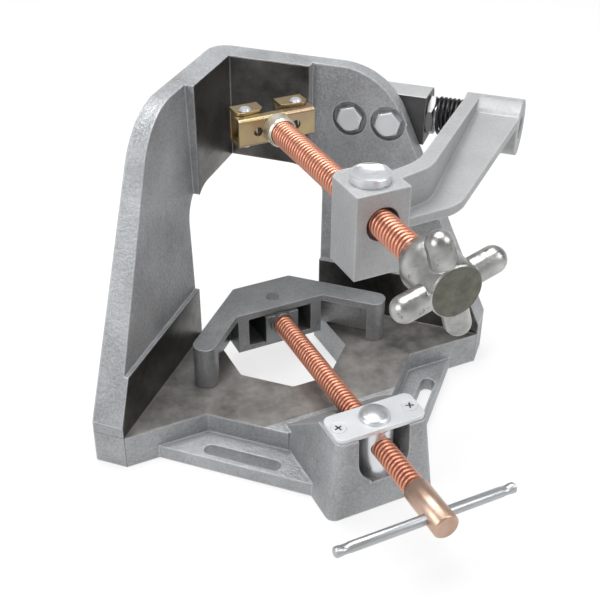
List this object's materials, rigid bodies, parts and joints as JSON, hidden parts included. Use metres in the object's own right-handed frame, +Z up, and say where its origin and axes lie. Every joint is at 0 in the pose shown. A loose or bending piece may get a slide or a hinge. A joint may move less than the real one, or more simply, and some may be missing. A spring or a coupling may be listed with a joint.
{
  "type": "corner clamp",
  "caption": "Cast corner clamp: two upright walls on a slotted base, a screw-driven swivelling V jaw low down and a swing arm with a screw and pressure pad above.",
  "frame": {"origin": "on the plane the base stands on, under the swivel axis of the lower nut", "axes": "+Z up, +Y from the handle towards the corner along the lower screw, +X to the right as the user at the handle sees it; the casting's plane of symmetry is X = 0"},
  "size_m": [0.3212, 0.3214, 0.2205],
  "materials": {
    "cast_iron": "satin sand-cast with machined faces",
    "jaw_iron": "satin sand-cast",
    "arm_iron": "satin cast",
    "copper_plate": "bright copper-plated thread",
    "zinc": "satin zinc plate",
    "yellow_zinc": "yellow passivated zinc",
    "dark_steel": "dark oiled steel",
    "spring_steel": "black spring wire",
    "bright_cast": "bright plated cast metal"
  },
  "bodies": {
    "casting": {"body_casting": "cast_iron", "retaining_plate": "zinc", "plate_screws": "zinc", "bracket_bar": "dark_steel", "bracket_bolts": "dark_steel", "pivot_stud": "zinc", "stud_nut": "dark_steel", "pivot_spring": "spring_steel"},
    "lower_nut": {"lower_trunnion": "zinc"},
    "lower_carriage": {"swivel_block": "dark_steel"},
    "lower_screw": {"lower_spindle": "copper_plate"},
    "cross_handle": {"tee_bar": "zinc"},
    "jaw": {"swivel_jaw": "jaw_iron", "jaw_pin": "dark_steel"},
    "arm": {"swing_arm": "arm_iron"},
    "upper_nut": {"arm_trunnion": "zinc"},
    "upper_carriage": {"pad_yoke": "yellow_zinc", "pad_socket": "yellow_zinc", "shoe_rivets": "zinc"},
    "upper_screw": {"upper_spindle": "copper_plate", "star_knob": "bright_cast"},
    "left_pad": {"left_shoe": "yellow_zinc"},
    "right_pad": {"right_shoe": "yellow_zinc"}
  },
  "joints": [
    {"name": "lower_nut_swivel", "type": "hinge", "parent": "casting", "child": "lower_nut", "pos_m": [0, 0, 0.043], "axis": [0, 0, 1], "range_deg": [-1.5, 1.5]},
    {"name": "lower_feed", "type": "slide", "parent": "lower_nut", "child": "lower_carriage", "axis": [0, 1, 0], "range_m": [-0.07, 0.015]},
    {"name": "lower_turn", "type": "hinge", "parent": "lower_carriage", "child": "lower_screw", "pos_m": [0, 0, 0.043], "axis": [0, 1, 0], "range_deg": [-8400, 1800]},
    {"name": "handle_slide", "type": "slide", "parent": "lower_screw", "child": "cross_handle", "axis": [1, 0, 0], "range_m": [-0.04, 0.051]},
    {"name": "jaw_swivel", "type": "hinge", "parent": "lower_carriage", "child": "jaw", "pos_m": [0, 0.1482, 0.04], "axis": [0, 0, 1], "range_deg": [-2, 2]},
    {"name": "arm_lift", "type": "hinge", "parent": "casting", "child": "arm", "pos_m": [0.14602, 0.11312, 0.1745], "axis": [-0.7071, 0.7071, 0], "range_deg": [-5, 120]},
    {"name": "upper_nut_swivel", "type": "hinge", "parent": "arm", "child": "upper_nut", "pos_m": [0, 0.0185, 0.189], "axis": [0, 0, 1], "range_deg": [-3, 3]},
    {"name": "upper_feed", "type": "slide", "parent": "upper_nut", "child": "upper_carriage", "axis": [0, 1, 0], "range_m": [-0.085, 0.008]},
    {"name": "upper_turn", "type": "hinge", "parent": "upper_carriage", "child": "upper_screw", "pos_m": [0, 0, 0.189], "axis": [0, 1, 0], "range_deg": [-10200, 960]},
    {"name": "left_pad_swivel", "type": "hinge", "parent": "upper_carriage", "child": "left_pad", "pos_m": [-0.0175, 0.148, 0.189], "axis": [0, 0, 1], "range_deg": [-20, 20]},
    {"name": "right_pad_swivel", "type": "hinge", "parent": "upper_carriage", "child": "right_pad", "pos_m": [0.0175, 0.148, 0.189], "axis": [0, 0, 1], "range_deg": [-20, 20]}
  ],
  "couplings": [
    {"joint": "lower_feed", "follows": "lower_turn", "m_per_rad": 0.00047746},
    {"joint": "upper_feed", "follows": "upper_turn", "m_per_rad": 0.00047746}
  ]
}
